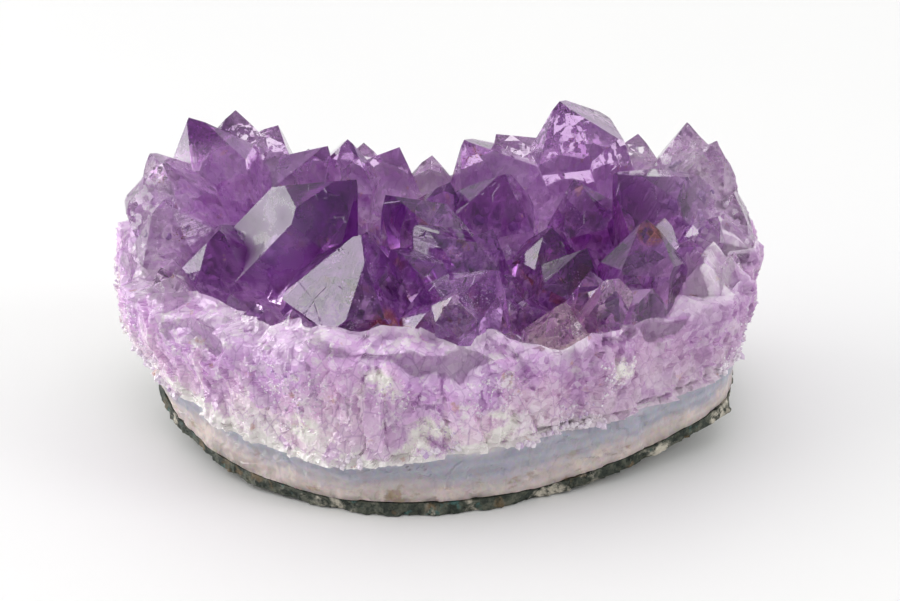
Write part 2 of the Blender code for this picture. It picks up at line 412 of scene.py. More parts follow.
def chipped(place, size, seed, tilt, step):
    """Relief of tilted flat chips: each is a plane through its centre, set in or out by a random step."""
    way, luck = chips(place, size, seed)
    slope = np.sum(way * (luck - 0.5), axis=-1)
    return size * (tilt * slope + step * (luck[..., 0] - 0.5))


def put_mesh(name, points, faces, material):
    """A flat-shaded mesh object from points in the stone's millimetres and faces."""
    mesh = bpy.data.meshes.new(name)
    moved = (points - np.array((*MIDDLE, 0))) * MM
    mesh.from_pydata(moved, [], faces)
    mesh.materials.append(material)
    made = bpy.data.objects.new(name, mesh)
    scene.collection.objects.link(made)
    low, high = points.min(axis=0).round(1), points.max(axis=0).round(1)
    print(f"{name}: {len(mesh.polygons)} faces, from {low} to {high} mm")
    return made


def store(made, name, values):
    """Keeps one number for each corner of a mesh, for its material to read."""
    layer = made.data.attributes.new(name, "FLOAT", "POINT")
    layer.data.foreach_set("value", values.astype(np.float32))


def wrap(name, rings, bottom, top, material):
    """A closed skin: rings of points stacked from a bottom pole to a top pole. Four-sided faces join
    the rings, and three-sided ones close the poles."""
    rows, sides = rings.shape[:2]
    points = np.concatenate((rings.reshape(-1, 3), [bottom, top]))
    index = np.arange(rows * sides).reshape(rows, sides)
    beside = np.roll(index, -1, axis=1)
    quads = np.stack((index[:-1], beside[:-1], beside[1:], index[1:]), axis=-1).reshape(-1, 4)
    below = np.stack((np.full(sides, rows * sides), beside[0], index[0]), axis=-1)
    above = np.stack((np.full(sides, rows * sides + 1), index[-1], beside[-1]), axis=-1)
    return put_mesh(name, points, quads.tolist() + below.tolist() + above.tolist(), material)


def outward(points):
    """The level direction away from the middle."""
    flat = points * (1, 1, 0)
    return flat / np.maximum(TINY, np.linalg.norm(flat, axis=-1, keepdims=True))


print("at tilt 1 a chip leans by up to", round(math.degrees(math.atan(0.5))), "degrees along each axis")

# %% [markdown]
# ## Measuring the solid
# The crust's broken wall isn't a formula alone: the solid's wall is chipped, and the finer wall
# has to follow it closely all the way round. So the solid is measured as a caliper would do
# it: level rays go out from the axis, and the furthest face that each one meets gives the reach.

# %% Level rays against a solid
SLACK = 1e-6


def places_of(mesh):
    """Where the corners of a mesh are, in the stone's millimetres."""
    places = np.empty(3 * len(mesh.vertices))
    mesh.vertices.foreach_get("co", places)
    return places.reshape(-1, 3) / MM + (*MIDDLE, 0)


def corners_of(node):
    """The three corners of each triangle of a solid, in the stone's millimetres."""
    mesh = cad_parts[node].data
    mesh.calc_loop_triangles()
    faces = np.empty(3 * len(mesh.loop_triangles), int)
    mesh.loop_triangles.foreach_get("vertices", faces)
    return places_of(mesh)[faces].reshape(-1, 3, 3)


def reach(corners, ways, heights):
    """How far level rays from the axis get. A ray o + t d meets the plane of a triangle at
    t = e2.q / det, inside it when 0 <= u, 0 <= v and u + v <= 1, with p = d x e2, q = (o - a) x e1."""
    far = np.zeros(heights.shape)
    low, high = corners[..., 2].min(axis=1), corners[..., 2].max(axis=1)
    for row, (way, height) in enumerate(zip(ways, heights)):
        met = corners[(low <= height.max()) & (high >= height.min())]
        a, e1, e2 = met[:, 0], met[:, 1] - met[:, 0], met[:, 2] - met[:, 0]
        d = np.concatenate((way, np.zeros((len(way), 1))), axis=1)[:, None]
        o = np.zeros_like(d)
        o[..., 2] = height[:, None]
        p = np.cross(d, e2[None])
        det = np.sum(p * e1, axis=-1)
        det = np.where(np.abs(det) < TINY, TINY, det)
        s = o - a
        u = np.sum(s * p, axis=-1) / det
        q = np.cross(s, e1[None])
        v = np.sum(d * q, axis=-1) / det
        t = np.sum(e2 * q, axis=-1) / det
        hit = (u >= -SLACK) & (v >= -SLACK) & (u + v <= 1 + SLACK)
        far[row] = np.where(hit, t, 0).max(axis=1)
    return far


def finer(coarse, rows, columns):
    """A grid of values that goes round, stretched to more rows and columns by straight blending."""
    old_rows, old_columns = coarse.shape
    r = np.linspace(0, old_rows - 1, rows)
    c = np.arange(columns) * old_columns / columns
    r0 = np.minimum(r.astype(int), old_rows - 2)
    c0 = c.astype(int)
    fr, fc = (r - r0)[:, None], (c - c0)[None]
    c1 = (c0 + 1) % old_columns
    upper = coarse[r0][:, c0] * (1 - fc) + coarse[r0][:, c1] * fc
    lower = coarse[r0 + 1][:, c0] * (1 - fc) + coarse[r0 + 1][:, c1] * fc
    return upper * (1 - fr) + lower * fr


crystal_corners = corners_of("amethyst_crystals")
print("the crystals' solid has", len(crystal_corners), "triangles")

# %% [markdown]
# ## The rind of basalt
# The stone was broken out of a hollow in dark lava. What is left of the lava is a crumbly skin
# under everything, nearly black with a green cast, and stained with white and ochre minerals.
# Its skin is a surface of two parameters: the turn around the stone, and the way from the
# middle of the underside, over the edge, to the middle of the top.

# %% Finish of the rind


def rind_material():
    material, tree, shader, place = new_material("weathered basalt", Roughness=0.85, Metallic=0.0)
    crumbs = clouds(tree, place, 2.2, 8.0, 0.62)
    patches = clouds(tree, place, 9.0, 5.0, 0.6, 0.6)
    grain = grain_values(tree, place, 0.8)
    dark = ramp(tree, crumbs, (0.3, srgb(24, 30, 27)), (0.5, srgb(52, 60, 52)), (0.66, srgb(96, 98, 84)),
                (0.8, srgb(58, 66, 62)))
    dark = mixed(tree, fade(tree, grain, 0.5, 1.0, 0.0, 0.25), dark, srgb(122, 124, 104))
    white = fade(tree, patches, 0.52, 0.62)
    white = times(tree, white, fade(tree, crumbs, 0.4, 0.56))
    colour = mixed(tree, white, dark, srgb(205, 198, 182))
    ochre = fade(tree, clouds(tree, stretched(tree, place, 1, 1.3, 1), 5.0, 5.0, 0.6), 0.56, 0.66, 0, 0.55)
    colour = mixed(tree, ochre, colour, srgb(132, 108, 76))
    teal = fade(tree, clouds(tree, stretched(tree, place, 1.2, 1, 1), 4.0, 5.0, 0.6), 0.58, 0.66, 0, 0.7)
    colour = mixed(tree, teal, colour, srgb(70, 116, 112))
    relief = bump(tree, crumbs, 0.5)
    relief = bump(tree, clouds(tree, place, 0.5, 3.0), 0.15, relief)
    finish_with(tree, shader, Base_Color=colour, Normal=relief,
                Roughness=fade(tree, crumbs, 0.3, 0.7, 0.95, 0.6))
    return material


# %% Skin of the rind
SIDES = 720
UNDER_ROWS, EDGE_ROWS, EDGE_START = 64, 14, 0.2
CRUMBS_AT_TOP, PITS_IN_MIDDLE = 0.45, 0.35

# Where the rings lie on a side that another layer covers.
COVERED = (0.1, 0.5, 0.9)
turns = np.arange(SIDES) / SIDES
foot, furthest = rim(turns)


def inner_rings(edge, shares, height):
    """Rings inside an edge, at shares of its distance from the middle, at the height of a formula."""
    flat = edge[None, :, :2] * np.asarray(shares)[:, None, None]
    return np.concatenate((flat, height(flat[..., 0], flat[..., 1])[..., None]), axis=-1)


def wall_rings(edge, low, high, rows):
    """Rings straight up from a low edge height to a high one."""
    up = np.linspace(0, 1, rows)[:, None]
    z = low * (1 - up) + high * up
    flat = np.broadcast_to(edge[None], (rows, len(edge), 2))
    return np.concatenate((flat, z[..., None]), axis=-1)


def make_rind():
    """Crumbs stand out most at the foot of the edge, and pits in the underside deepen outwards."""
    x, y = foot.T
    under = inner_rings(foot, np.linspace(0.02, 0.985, UNDER_ROWS), underside)
    wall = wall_rings(foot, underside(x, y) + EDGE_START, rind_top(x, y), EDGE_ROWS)
    crumbs = 0.55 * smooth_noise(wall, 3.2, 1) + chipped(wall, 1.6, 2, 0.5, 0.3)
    crumbs = crumbs + 0.6 * smooth_noise(wall, 7, 5)
    lower_edge = np.linspace(1, CRUMBS_AT_TOP, EDGE_ROWS)[:, None]
    wall = wall + outward(wall) * (crumbs * lower_edge)[..., None]
    pits = 0.5 + 0.5 * smooth_noise(under, 3.5, 3) + 0.3 * smooth_noise(under, 1.2, 4)
    under[..., 2] += np.clip(pits, 0, 1.3) * np.linspace(PITS_IN_MIDDLE, 1, UNDER_ROWS)[:, None]
    over = inner_rings(foot, COVERED[::-1], rind_top)
    rings = np.concatenate((under, wall, over))
    rings[..., 2] = np.maximum(rings[..., 2], 0)
    return wrap("rind", rings, (0, 0, 0), (0, 0, rind_top(0, 0)), rind_material())


rind = make_rind()
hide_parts("basalt_rind")
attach(rind, "root")

# %% [markdown]
# ## The band of agate
# Before any quartz points grew, the hollow was lined with chalcedony: quartz so fine-grained
# that it looks like wax. It is grey-blue, in thin bands that follow the wall of the hollow, and
# chalky white or rust-brown where water got in. The bands run along the layer, so the colour is
# read from a UV map: across it goes the distance around the stone, and up it the height in the
# layer.

# %% Finish of the agate


def agate_material():
    material, tree, shader, place = new_material("agate", Roughness=0.3, Metallic=0.0, IOR=1.54)
    along = add(tree, "UVMap", {}, uv_map="along the band")
    warp = clouds(tree, place, 14, 4.0)
    level = plus(tree, axis(tree, along, "Y"), fade(tree, warp, 0.3, 0.7, -0.14, 0.14))
    banded = ramp(tree, level, (0.0, srgb(156, 142, 136)), (0.2, srgb(204, 188, 184)),
                  (0.4, srgb(192, 180, 186)), (0.54, srgb(170, 168, 182)), (0.8, srgb(172, 172, 189)),
                  (0.94, srgb(186, 183, 197)), (1.0, srgb(216, 210, 214)))
    waves = {"Vector": along, "Scale": 1.3, "Distortion": 2.5, "Detail": 4.0}
    lines = add(tree, "TexWave", waves, bands_direction="Y")
    banded = mixed(tree, 0.06, banded, lines)
    chalk = clouds(tree, place, 6.5, 6.0, 0.62, 0.4)
    chalky = times(tree, fade(tree, chalk, 0.5, 0.63), fade(tree, level, 0.6, 0.3, 0.05, 0.85))
    colour = mixed(tree, chalky, banded, srgb(222, 206, 200))
    rust = clouds(tree, stretched(tree, place, 1, 1, 1.6), 5.0, 6.0, 0.6)
    rusty = times(tree, fade(tree, rust, 0.57, 0.68), fade(tree, level, 0.8, 0.2, 0.0, 0.7))
    colour = mixed(tree, rusty, colour, srgb(150, 122, 92))
    colour = mixed(tree, 0.06, colour, grains(tree, place, 0.7))
    relief = bump(tree, chalk, 0.35)
    relief = bump(tree, clouds(tree, place, 0.6, 4.0), 0.08, relief)
    finish_with(tree, shader, Base_Color=colour, Normal=relief,
                Roughness=fade(tree, chalk, 0.4, 0.62, 0.28, 0.8))
    return material


# %% Skin of the agate
AGATE_ROWS = 40
UV_LENGTH = 10


def make_agate():
    """Flakes stand out most half-way up the band. One unit of the map is a centimetre around it."""
    x, y = foot.T
    low, high = rind_top(x, y) + GAP, agate_top(x, y)
    up = np.linspace(0, 1, AGATE_ROWS)[:, None]
    wall = wall_rings(foot, low, high, AGATE_ROWS)
    wall[..., :2] = flared(wall[..., :2], up)
    middle = 4 * up * (1 - up)
    flakes = 0.9 * middle * smooth_noise(wall, 9, 11) + chipped(wall, 4.5, 12, 0.12, 0.02)
    flakes = flakes + 0.16 * smooth_noise(wall, 1.1, 13) + 0.35 * smooth_noise(wall, 2.6, 14)
    wall = wall + outward(wall) * flakes[..., None]
    under = inner_rings(foot, COVERED, lambda x, y: rind_top(x, y) + GAP)
    over = inner_rings(flared(foot, 1), (0.95, 0.5, 0.1), agate_top)
    rings = np.concatenate((under, wall, over))
    bottom, top = (0, 0, rind_top(0, 0) + GAP), (0, 0, agate_top(0, 0))
    made = wrap("agate", rings, bottom, top, agate_material())
    around = np.linalg.norm(np.diff(foot, axis=0, append=foot[:1]), axis=1).cumsum() / UV_LENGTH
    shares = np.concatenate((np.zeros(3), up[:, 0], np.ones(3)))
    at_points = np.stack(np.broadcast_arrays(around[None], shares[:, None]), axis=-1).reshape(-1, 2)
    at_points = np.concatenate((at_points, ((0, 0), (0, 1))))
    loops = np.empty(len(made.data.loops), int)
    made.data.loops.foreach_get("vertex_index", loops)
    layer = made.data.uv_layers.new(name="along the band")
    layer.data.foreach_set("uv", at_points[loops].ravel())
    return made


agate = make_agate()
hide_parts("agate_band")
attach(agate, "root")

# %% [markdown]
# ## The milky quartz
# The points grow from a crust of milky quartz that fades from white at the agate to lilac. Its
# outer side is where the stone was broken: a wall of snapped columns, full of small flat chips
# that catch the light like sugar. Inside, it is the bed that shows through the foot of each
# clear point. One skin does both: up the wall, over the rim, and down the bowl to its middle.
# In the upper part of the wall the milky quartz lies a little inside, behind clear broken quartz.

# %% Finish of the milky quartz
# Where the wall is whitest: the middle of each spot and how far it reaches.
WHITE_SPOTS = (((37, -30, 27), 4.0), ((-1, -42, 18.5), 6.0), ((-27, -39, 18), 5.0), ((-11, -43, 29), 5.5),
               ((-52, -18, 27), 4.0), ((12, -40, 20), 5.0))


def milky_material():
    material, tree, shader, place = new_material("milky quartz", Metallic=0.0, IOR=1.544)
    way = attribute(tree, "way")
    tall = stretched(tree, place, 1, 1, 0.4)
    patches = clouds(tree, tall, 12, 5.0, 0.6)
    column = grain_values(tree, tall, 5.0)
    chip = grain_values(tree, place, 1.4)
    level = plus(tree, way, fade(tree, patches, 0.3, 0.7, -0.2, 0.2))
    level = plus(tree, level, fade(tree, column, 0, 1, -0.1, 0.1))
    colour = ramp(tree, times(tree, level, 0.5), (0.0, srgb(246, 234, 238)),
                  (0.08, srgb(240, 218, 232)), (0.22, srgb(232, 196, 228)), (0.36, srgb(220, 174, 226)),
                  (0.46, srgb(232, 200, 238)), (0.54, srgb(246, 230, 246)),
                  (0.7, srgb(216, 174, 226)), (1.0, srgb(184, 128, 200)))
    on_wall = fade(tree, way, 1.02, 0.9)
    dusk = times(tree, on_wall, fade(tree, column, 0.3, 0.9, 0.0, 0.5))
    colour = mixed(tree, dusk, colour, srgb(198, 148, 210))
    colour = mixed(tree, fade(tree, chip, 0.45, 1.0, 0.0, 0.5), colour, srgb(250, 238, 250))
    edges = grain_edges(tree, stretched(tree, place, 1, 1, 0.6), 2.8)
    edges = times(tree, on_wall, fade(tree, edges, 0.0, 0.07, 0.45, 0.0))
    colour = mixed(tree, edges, colour, srgb(168, 122, 180))
    sugar = clouds(tree, place, 6.0, 7.0, 0.68)
    sugary = fade(tree, sugar, 0.56, 0.64, 0, 0.8)
    colour = mixed(tree, sugary, colour, srgb(244, 236, 240))
    foot_line = plus(tree, way, fade(tree, sugar, 0.35, 0.65, 0.1, -0.1))
    foot_line = fade(tree, foot_line, 0.03, 0.14, 1, 0)
    colour = mixed(tree, foot_line, colour, srgb(246, 240, 238))
    veins = clouds(tree, stretched(tree, place, 1, 1, 0.6), 9.0, 3.0, 0.5, 1.0)
    shade = times(tree, fade(tree, veins, 0.6, 0.7, 0, 0.5), fade(tree, way, 0.1, 0.3))
    shade = times(tree, shade, on_wall)
    colour = mixed(tree, shade, colour, srgb(166, 122, 172))
    # Painted shade: the wall is painted darker towards its right end, the side turned away from the window.
    right = times(tree, on_wall, fade(tree, axis(tree, place, "X"), 5, 45, 0, 0.55))
    colour = mixed(tree, right, colour, srgb(178, 134, 182))
    rust = fade(tree, clouds(tree, place, 4.0, 5.0, 0.6), 0.64, 0.72, 0, 0.5)
    colour = mixed(tree, rust, colour, srgb(196, 140, 104))
    crumbly = fade(tree, sugar, 0.42, 0.56)
    for spot in WHITE_SPOTS:
        white = times(tree, near(tree, place, *spot), crumbly)
        colour = mixed(tree, white, colour, srgb(250, 244, 240))
    relief = leaning(tree, place, 1.4, 0.75)
    relief = bump(tree, clouds(tree, place, 0.5, 2.0), 0.12, relief)
    finish_with(tree, shader, Base_Color=colour, Normal=relief,
                Roughness=fade(tree, chip, 0.0, 1.0, 0.06, 0.36))
    shader.inputs["Subsurface Weight"].default_value = 0.25
    shader.inputs["Subsurface Radius"].default_value = (1, 0.75, 1)
    shader.inputs["Subsurface Scale"].default_value = 2.5 * MM
    return material


# %% Skin of the milky quartz
WALL_ROWS, BED_ROWS = 84, 44

# Only every so many rows and sides of the wall are measured, and the reach that is found is kept
# between these shares of the outline's own.
ROW_STEP, SIDE_STEP = 4, 6
LEAST_REACH, MOST_REACH = 0.9, 1.03

# How far the wall stands proud of the solid, how far up its top sinks in, and how deep.
PROUD = 0.3
SINK_FROM, SINK = 0.88, 1.0

# The wall starts below the agate's top, on a ledge that tapers off up the wall.
FOOT = 0.7
LEDGE, LEDGE_SHARE, LEDGE_SLOPE = 0.2, 0.3, 12

# The bed rises at both ends of the stone, past this distance from its middle.
ENDS_FROM, ENDS_WIDTH, LEFT_LIFT, RIGHT_LIFT = 43, 11, 5, 9


def crust_top(x, y, place):
    """The ragged height at which the wall turns over into the bed."""
    return bed(x, y) + 0.5 + 1.8 * smooth_noise(place * (1, 1, 0), 6, 21)


def make_crust():
    """The wall is as far out as the solid, plus three sizes of chips. The bed is the bowl's formula
    plus two sizes of chips."""
    x, y = foot.T
    low = agate_top(x, y) - FOOT
    edge = np.concatenate((furthest, np.zeros((SIDES, 1))), axis=1)
    high = crust_top(*furthest.T, edge)
    up = np.linspace(0, 1, WALL_ROWS)[:, None]
    z = low * (1 - up) + high * up
    way = foot / np.linalg.norm(foot, axis=1, keepdims=True)
    coarse = slice(None, None, SIDE_STEP)
    coarse_z = np.maximum(z, low + 0.5)[::ROW_STEP][:, coarse]
    ways = np.broadcast_to(way[coarse], (*coarse_z.shape, 2))
    measured = finer(reach(crystal_corners, ways, coarse_z), WALL_ROWS, SIDES)
    usual = np.linalg.norm(furthest, axis=1)
    measured = np.clip(measured, LEAST_REACH * usual, MOST_REACH * usual)
    ledge = np.linalg.norm(flared(foot, 1), axis=1) + LEDGE
    measured = np.where(up < LEDGE_SHARE, np.maximum(measured, ledge - LEDGE_SLOPE * up), measured)
    wall = np.concatenate((way[None] * measured[..., None], z[..., None]), axis=-1)
    columns = chipped(wall * (1, 1, 0.45), 6.5, 22, 0.6, 0.3)
    facets = chipped(wall * (1, 1, 0.7), 2.4, 23, 0.7, 0.3)
    sugar = chipped(wall, 0.9, 24, 0.6, 0.3)
    relief = PROUD + np.clip(0.7 + columns + facets, 0, 2.0) + np.maximum(0, sugar)
    ragged = 0.42 * smooth_noise(wall, 15, 27) + 0.16 * smooth_noise(wall, 5, 28)
    sunk = np.clip((up + ragged - SINK_FROM) / 0.1, 0, 1)
    relief = relief * (1 - sunk) - sunk * (SINK - 0.4 * columns)
    wall = wall + outward(wall) * relief[..., None]
    shares = 1 - np.linspace(0.012, 0.985, BED_ROWS) ** 1.1
    bowl = inner_rings(wall[-1, :, :2], shares, bed)
    bed_chips = chipped(bowl, 4.0, 25, 1.2, 0.6) + chipped(bowl, 1.8, 26, 1.2, 0.4)
    blend = np.linspace(0, 1, BED_ROWS)[:, None]
    lift = (high - bed(*furthest.T))[None] * np.maximum(0, 1 - 5 * blend)
    ends = np.clip((np.abs(bowl[..., 0]) - ENDS_FROM) / ENDS_WIDTH, 0, 1)
    ends = ends * np.where(bowl[..., 0] > 0, RIGHT_LIFT, LEFT_LIFT)
    bowl[..., 2] += lift + bed_chips * np.minimum(1, 6 * blend) + ends * np.minimum(1, 8 * blend)
    under = inner_rings(foot, COVERED, lambda x, y: agate_top(x, y) + GAP)
    rings = np.concatenate((under, wall, bowl))
    bottom, top = (0, 0, agate_top(0, 0) + GAP), (0, 0, bed(0, 0))
    made = wrap("milky_crust", rings, bottom, top, milky_material())
    along = np.concatenate((np.zeros(3), up[:, 0], 1 + blend[:, 0]))
    store(made, "way", np.append(np.repeat(along, SIDES), (0, 2)))
    return made


crust = make_crust()
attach(crust, "root")

# %% [markdown]
# ## Druse
# Wherever the crust had room, small quartz points cover it, from sugar grains to points as thick
# as a pencil lead. They are one shape, a six-sided prism under a six-sided pyramid, repeated with
# its own size, place, lean and turn each time. All of them are worked out at once and joined in
# one mesh.

# %% Finish of the druse


def druse_material():
    material, tree, shader, place = new_material("druse", Metallic=0.0, IOR=1.544)
    colour = ramp(tree, attribute(tree, "tone"), (0.0, srgb(240, 230, 240)), (0.35, srgb(214, 190, 222)),
                  (0.7, srgb(176, 138, 198)), (1.0, srgb(128, 84, 164)))
    cloud = clouds(tree, place, 1.5, 4.0)
    colour = mixed(tree, fade(tree, cloud, 0.45, 0.7, 0, 0.4), colour, srgb(246, 240, 244))
    rust = fade(tree, clouds(tree, place, 6.0, 4.0), 0.6, 0.7, 0, 0.6)
    colour = mixed(tree, rust, colour, srgb(190, 130, 92))
    finish_with(tree, shader, Base_Color=colour, Normal=bump(tree, cloud, 0.04),
                Roughness=fade(tree, cloud, 0.35, 0.65, 0.06, 0.3))
    return material


# %% Small points
SHOULDER = 0.55

# The six corners of a hexagon, and the one after each.
CORNER = np.arange(6)
AFTER = (CORNER + 1) % 6

# A slanted direction, so that hardly any copy stands along it.
NOT_ALONG = (0.3, 0.2, 1.0)


def hexagon(height):
    """The corners of a hexagon of width 1, at a height."""
    angle = np.radians(60 * CORNER)
    return np.stack((np.cos(angle) / 2, np.sin(angle) / 2, np.full(6, height)), axis=1)


def unit_point():
    """A point of width 1 across its corners and height 1: two hexagons and a tip, with its faces."""
    points = np.concatenate((hexagon(0), hexagon(SHOULDER), [(0, 0, 1)]))
    sides = np.stack((CORNER, AFTER, AFTER + 6, CORNER + 6), axis=1).tolist()
    ends = np.stack((CORNER + 6, AFTER + 6, np.full(6, 12)), axis=1).tolist()
    return points, sides + ends + [[5, 4, 3, 2, 1, 0]]


def copies(name, shape, places, axes, widths, heights, tones, luck, material):
    """Copies of a unit shape. Each is scaled, turned about its own axis and stood along its
    direction n: with a across n, b = n x a and both turned about n, a corner (x, y, z) goes to
    place + width (x a + y b) + height z n."""
    unit, faces = shape
    count = len(places)
    n = axes / np.linalg.norm(axes, axis=1, keepdims=True)
    a = np.cross(n, NOT_ALONG)
    a /= np.linalg.norm(a, axis=1, keepdims=True)
    b = np.cross(n, a)
    turn = luck.uniform(0, np.pi / 3, count)[:, None]
    a, b = a * np.cos(turn) + b * np.sin(turn), b * np.cos(turn) - a * np.sin(turn)
    level = unit[None, :, 0, None] * a[:, None] + unit[None, :, 1, None] * b[:, None]
    points = places[:, None] + widths[:, None, None] * level
    points = points + heights[:, None, None] * unit[None, :, 2, None] * n[:, None]
    shifted = [[corner + len(unit) * k for corner in face] for k in range(count) for face in faces]
    made = put_mesh(name, points.reshape(-1, 3), shifted, material)
    store(made, "tone", np.repeat(tones, len(unit)))
    return made


def skin_places(luck, skin, count, low, high, fewest):
    """Random corners of a skin, numbered from low to high, where smooth noise is above a value,
    and which way is out at each."""
    places = places_of(skin.data)
    normals = np.empty(places.size)
    skin.data.vertex_normals.foreach_get("vector", normals)
    picked = luck.integers(low, high, SPARE * count)
    picked = picked[smooth_noise(places[picked], PATCH, 31) > fewest][:count]
    return places[picked], normals.reshape(-1, 3)[picked]


# How many times more corners are drawn than are needed, and the size of the patches that stay.
SPARE, PATCH = 6, 9.0

# The share of its height by which a point is sunk into the skin.
SUNK = 0.4

# How many at most, between which rows of the crust, the smallest and largest width, how violet,
# and above which value of the noise.
DRUSE = (
    (1700, (1, 60), (0.3, 0.7), 0.15, 0.0),
    (500, (0, 8), (0.6, 1.5), 0.0, -0.1),
    (420, (90, 122), (1.0, 2.8), 0.35, -0.2),
)


def make_druse():
    """Each point is sunk into the skin by a part of its height, and leans at random and upwards."""
    luck = np.random.default_rng(5)
    parts = []
    for number, rows, sizes, tone, fewest in DRUSE:
        low, high = ((3 + row) * SIDES for row in rows)
        places, normals = skin_places(luck, crust, number, low, high, fewest)
        count = len(places)
        widths = luck.uniform(*sizes, count)
        heights = widths * luck.uniform(0.8, 1.4, count)
        axes = normals + luck.normal(0, 0.5, (count, 3)) + (0, 0, 0.3)
        tones = np.clip(luck.normal(tone, 0.2, count), 0, 1)
        parts.append((places - SUNK * heights[:, None] * normals, axes, widths, heights, tones))
    joined = [np.concatenate(column) for column in zip(*parts)]
    return copies("druse", unit_point(), *joined, luck, druse_material())


druse = make_druse()
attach(druse, "root")

# %% [markdown]
# ## The amethyst
# The points themselves are clear. Their violet isn't on the surface but in the crystal, so it
# is made with plain absorption: light loses more green than red and blue for each millimetre
# that it travels. Iron gives the violet, and it is deepest in the tips, so the colour that the
# surface lets through also runs from pale at the bed to deep at the tips. A few large points in
# the middle are painted deeper and both ends of the stone paler, partly for their own colour and
# partly as painted shade in the hollow of the middle. The faces are nearly polished, with faint
# growth lines.

# %% Finish of the amethyst
# The colour that the crystal keeps, and how strongly it absorbs the rest.
ABSORBED = (0.42, 0.02, 0.58, 1)
ABSORPTION = 7

# Each place on the stone has its middle and how far it reaches. First a face that is rough from
# small steps, then a point that is peach instead of violet.
BROKEN_FACE = ((-34, -8, 47), 15.0)
PEACH_POINT = ((25, -30, 38), 11.0)

# Where iron has stained a seam orange.
STAINS = (((24, 17, 49), 5.0), ((43, -11, 47), 3.5), ((-10, -30, 36), 5.0), ((-6, -31, 33), 4.0),
          ((-34, -10, 44), 4.0))

# Where the violet is painted deepest: partly the points' own colour and partly painted shade.
DEEP_AND_SHADED = (((-17, -6, 52), 21.0), ((33, -2, 45), 20.0), ((-44, -12, 46), 13.0), ((-50, 22, 58), 11.0),
        ((12, 13, 46), 13.0))


def amethyst_material():
    material, tree, shader, place = new_material("amethyst", Metallic=0.0, IOR=1.544, Transmission_Weight=1.0)
    flat = stretched(tree, place, 1 / HALF_LENGTH, 1 / HALF_DEPTH, 0)
    out = add(tree, "VectorMath", {0: flat}, "Value", operation="LENGTH")
    bowl = times(tree, maths(tree, "POWER", out, 3.0), BED_RIM - BED_MIDDLE)
    above = maths(tree, "SUBTRACT", axis(tree, place, "Z"), plus(tree, bowl, BED_MIDDLE))
    cloud = clouds(tree, place, 10, 4.0, 0.55, 0.5)
    above = plus(tree, above, fade(tree, cloud, 0.3, 0.7, -5, 5))
    high = fade(tree, above, 0, 20)
    pale = ramp(tree, high, (0.0, srgb(250, 236, 250)), (0.4, srgb(240, 206, 248)),
                (1.0, srgb(222, 166, 240)))
    deep_and_shaded = ramp(tree, high, (0.0, srgb(230, 180, 234)), (0.4, srgb(178, 92, 192)),
                (1.0, srgb(124, 42, 146)))
    # Painted shade, in part: deeper violet on some points and in the middle, paler at both ends, over the
    # points' own colour.
    rim_tint = mixed(tree, high, srgb(252, 246, 252), srgb(248, 232, 250))
    depth_and_shade = near(tree, place, *DEEP_AND_SHADED[0])
    for spot in DEEP_AND_SHADED[1:]:
        depth_and_shade = maths(tree, "MAXIMUM", depth_and_shade, near(tree, place, *spot))
    colour = mixed(tree, fade(tree, out, 0.72, 0.92), pale, rim_tint)
    colour = mixed(tree, depth_and_shade, colour, deep_and_shaded)
    colour = mixed(tree, near(tree, place, *PEACH_POINT), colour, srgb(255, 238, 228))
    ragged = fade(tree, clouds(tree, place, 2.5, 3.0), 0.36, 0.5)
    for spot in STAINS:
        orange = times(tree, near(tree, place, *spot), ragged)
        colour = mixed(tree, orange, colour, srgb(244, 160, 84))
    seam = fade(tree, clouds(tree, place, 8, 4.0), 0.5, 0.6, 0, 0.7)
    seam = times(tree, fade(tree, above, 9, 1), seam)
    stain = fade(tree, clouds(tree, place, 4, 4.0), 0.66, 0.72, 0, 0.6)
    stain = maths(tree, "MAXIMUM", seam, stain)
    stain = times(tree, stain, fade(tree, out, 0.85, 0.7))
    colour = mixed(tree, stain, colour, srgb(242, 182, 136))
    rough_place = fade(tree, clouds(tree, place, 9, 3.0), 0.56, 0.64)
    rough_place = times(tree, rough_place, fade(tree, above, 14, 4, 0, 0.5))
    hackly = maths(tree, "MAXIMUM", fade(tree, out, 0.86, 0.98), rough_place)
    broken = near(tree, place, *BROKEN_FACE)
    relief = leaning(tree, place, 1.3, times(tree, hackly, 0.4))
    lines = clouds(tree, stretched(tree, place, 0.3, 0.3, 3.2), 1.6, 3.0, 0.5)
    relief = bump(tree, lines, 0.022, relief)
    crack = grain_edges(tree, stretched(tree, place, 1, 1, 0.6), 7)
    crack = plus(tree, crack, fade(tree, clouds(tree, place, 6, 3.0), 0.42, 0.56, 0.0, 0.1))
    relief = bump(tree, fade(tree, crack, 0.0, 0.03), 0.05, relief)
    frost = clouds(tree, place, 5, 6.0, 0.6)
    rough = fade(tree, frost, 0.56, 0.7, 0.01, 0.09)
    rough = plus(tree, rough, times(tree, hackly, 0.12))
    steps = times(tree, broken, fade(tree, frost, 0.4, 0.55, 0.12, 0.4))
    rough = plus(tree, rough, steps)
    finish_with(tree, shader, Base_Color=colour, Normal=relief, Roughness=rough)
    absorbing = add(tree, "VolumeAbsorption", {"Color": ABSORBED, "Density": ABSORPTION})
    tree.links.new(absorbing, tree.nodes["Material Output"].inputs["Volume"])
    return material


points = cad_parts["amethyst_crystals"]
points.data.materials.clear()
points.data.materials.append(amethyst_material())
print("the points have", len(points.data.polygons), "faces")

# %% [markdown]
# ## Veils inside the points
# Natural quartz is never quite clear. Cracks that healed while it grew stay as veils: sheets of
# tiny white specks, and now and then rust-red ones. Each veil here is a round patch of flat
# flakes around a place a few millimetres under a face. The palest points hold a whole cloud of
# them.

# %% Veils
# The places are tested in so many parts, to save memory.
PARTS = 24


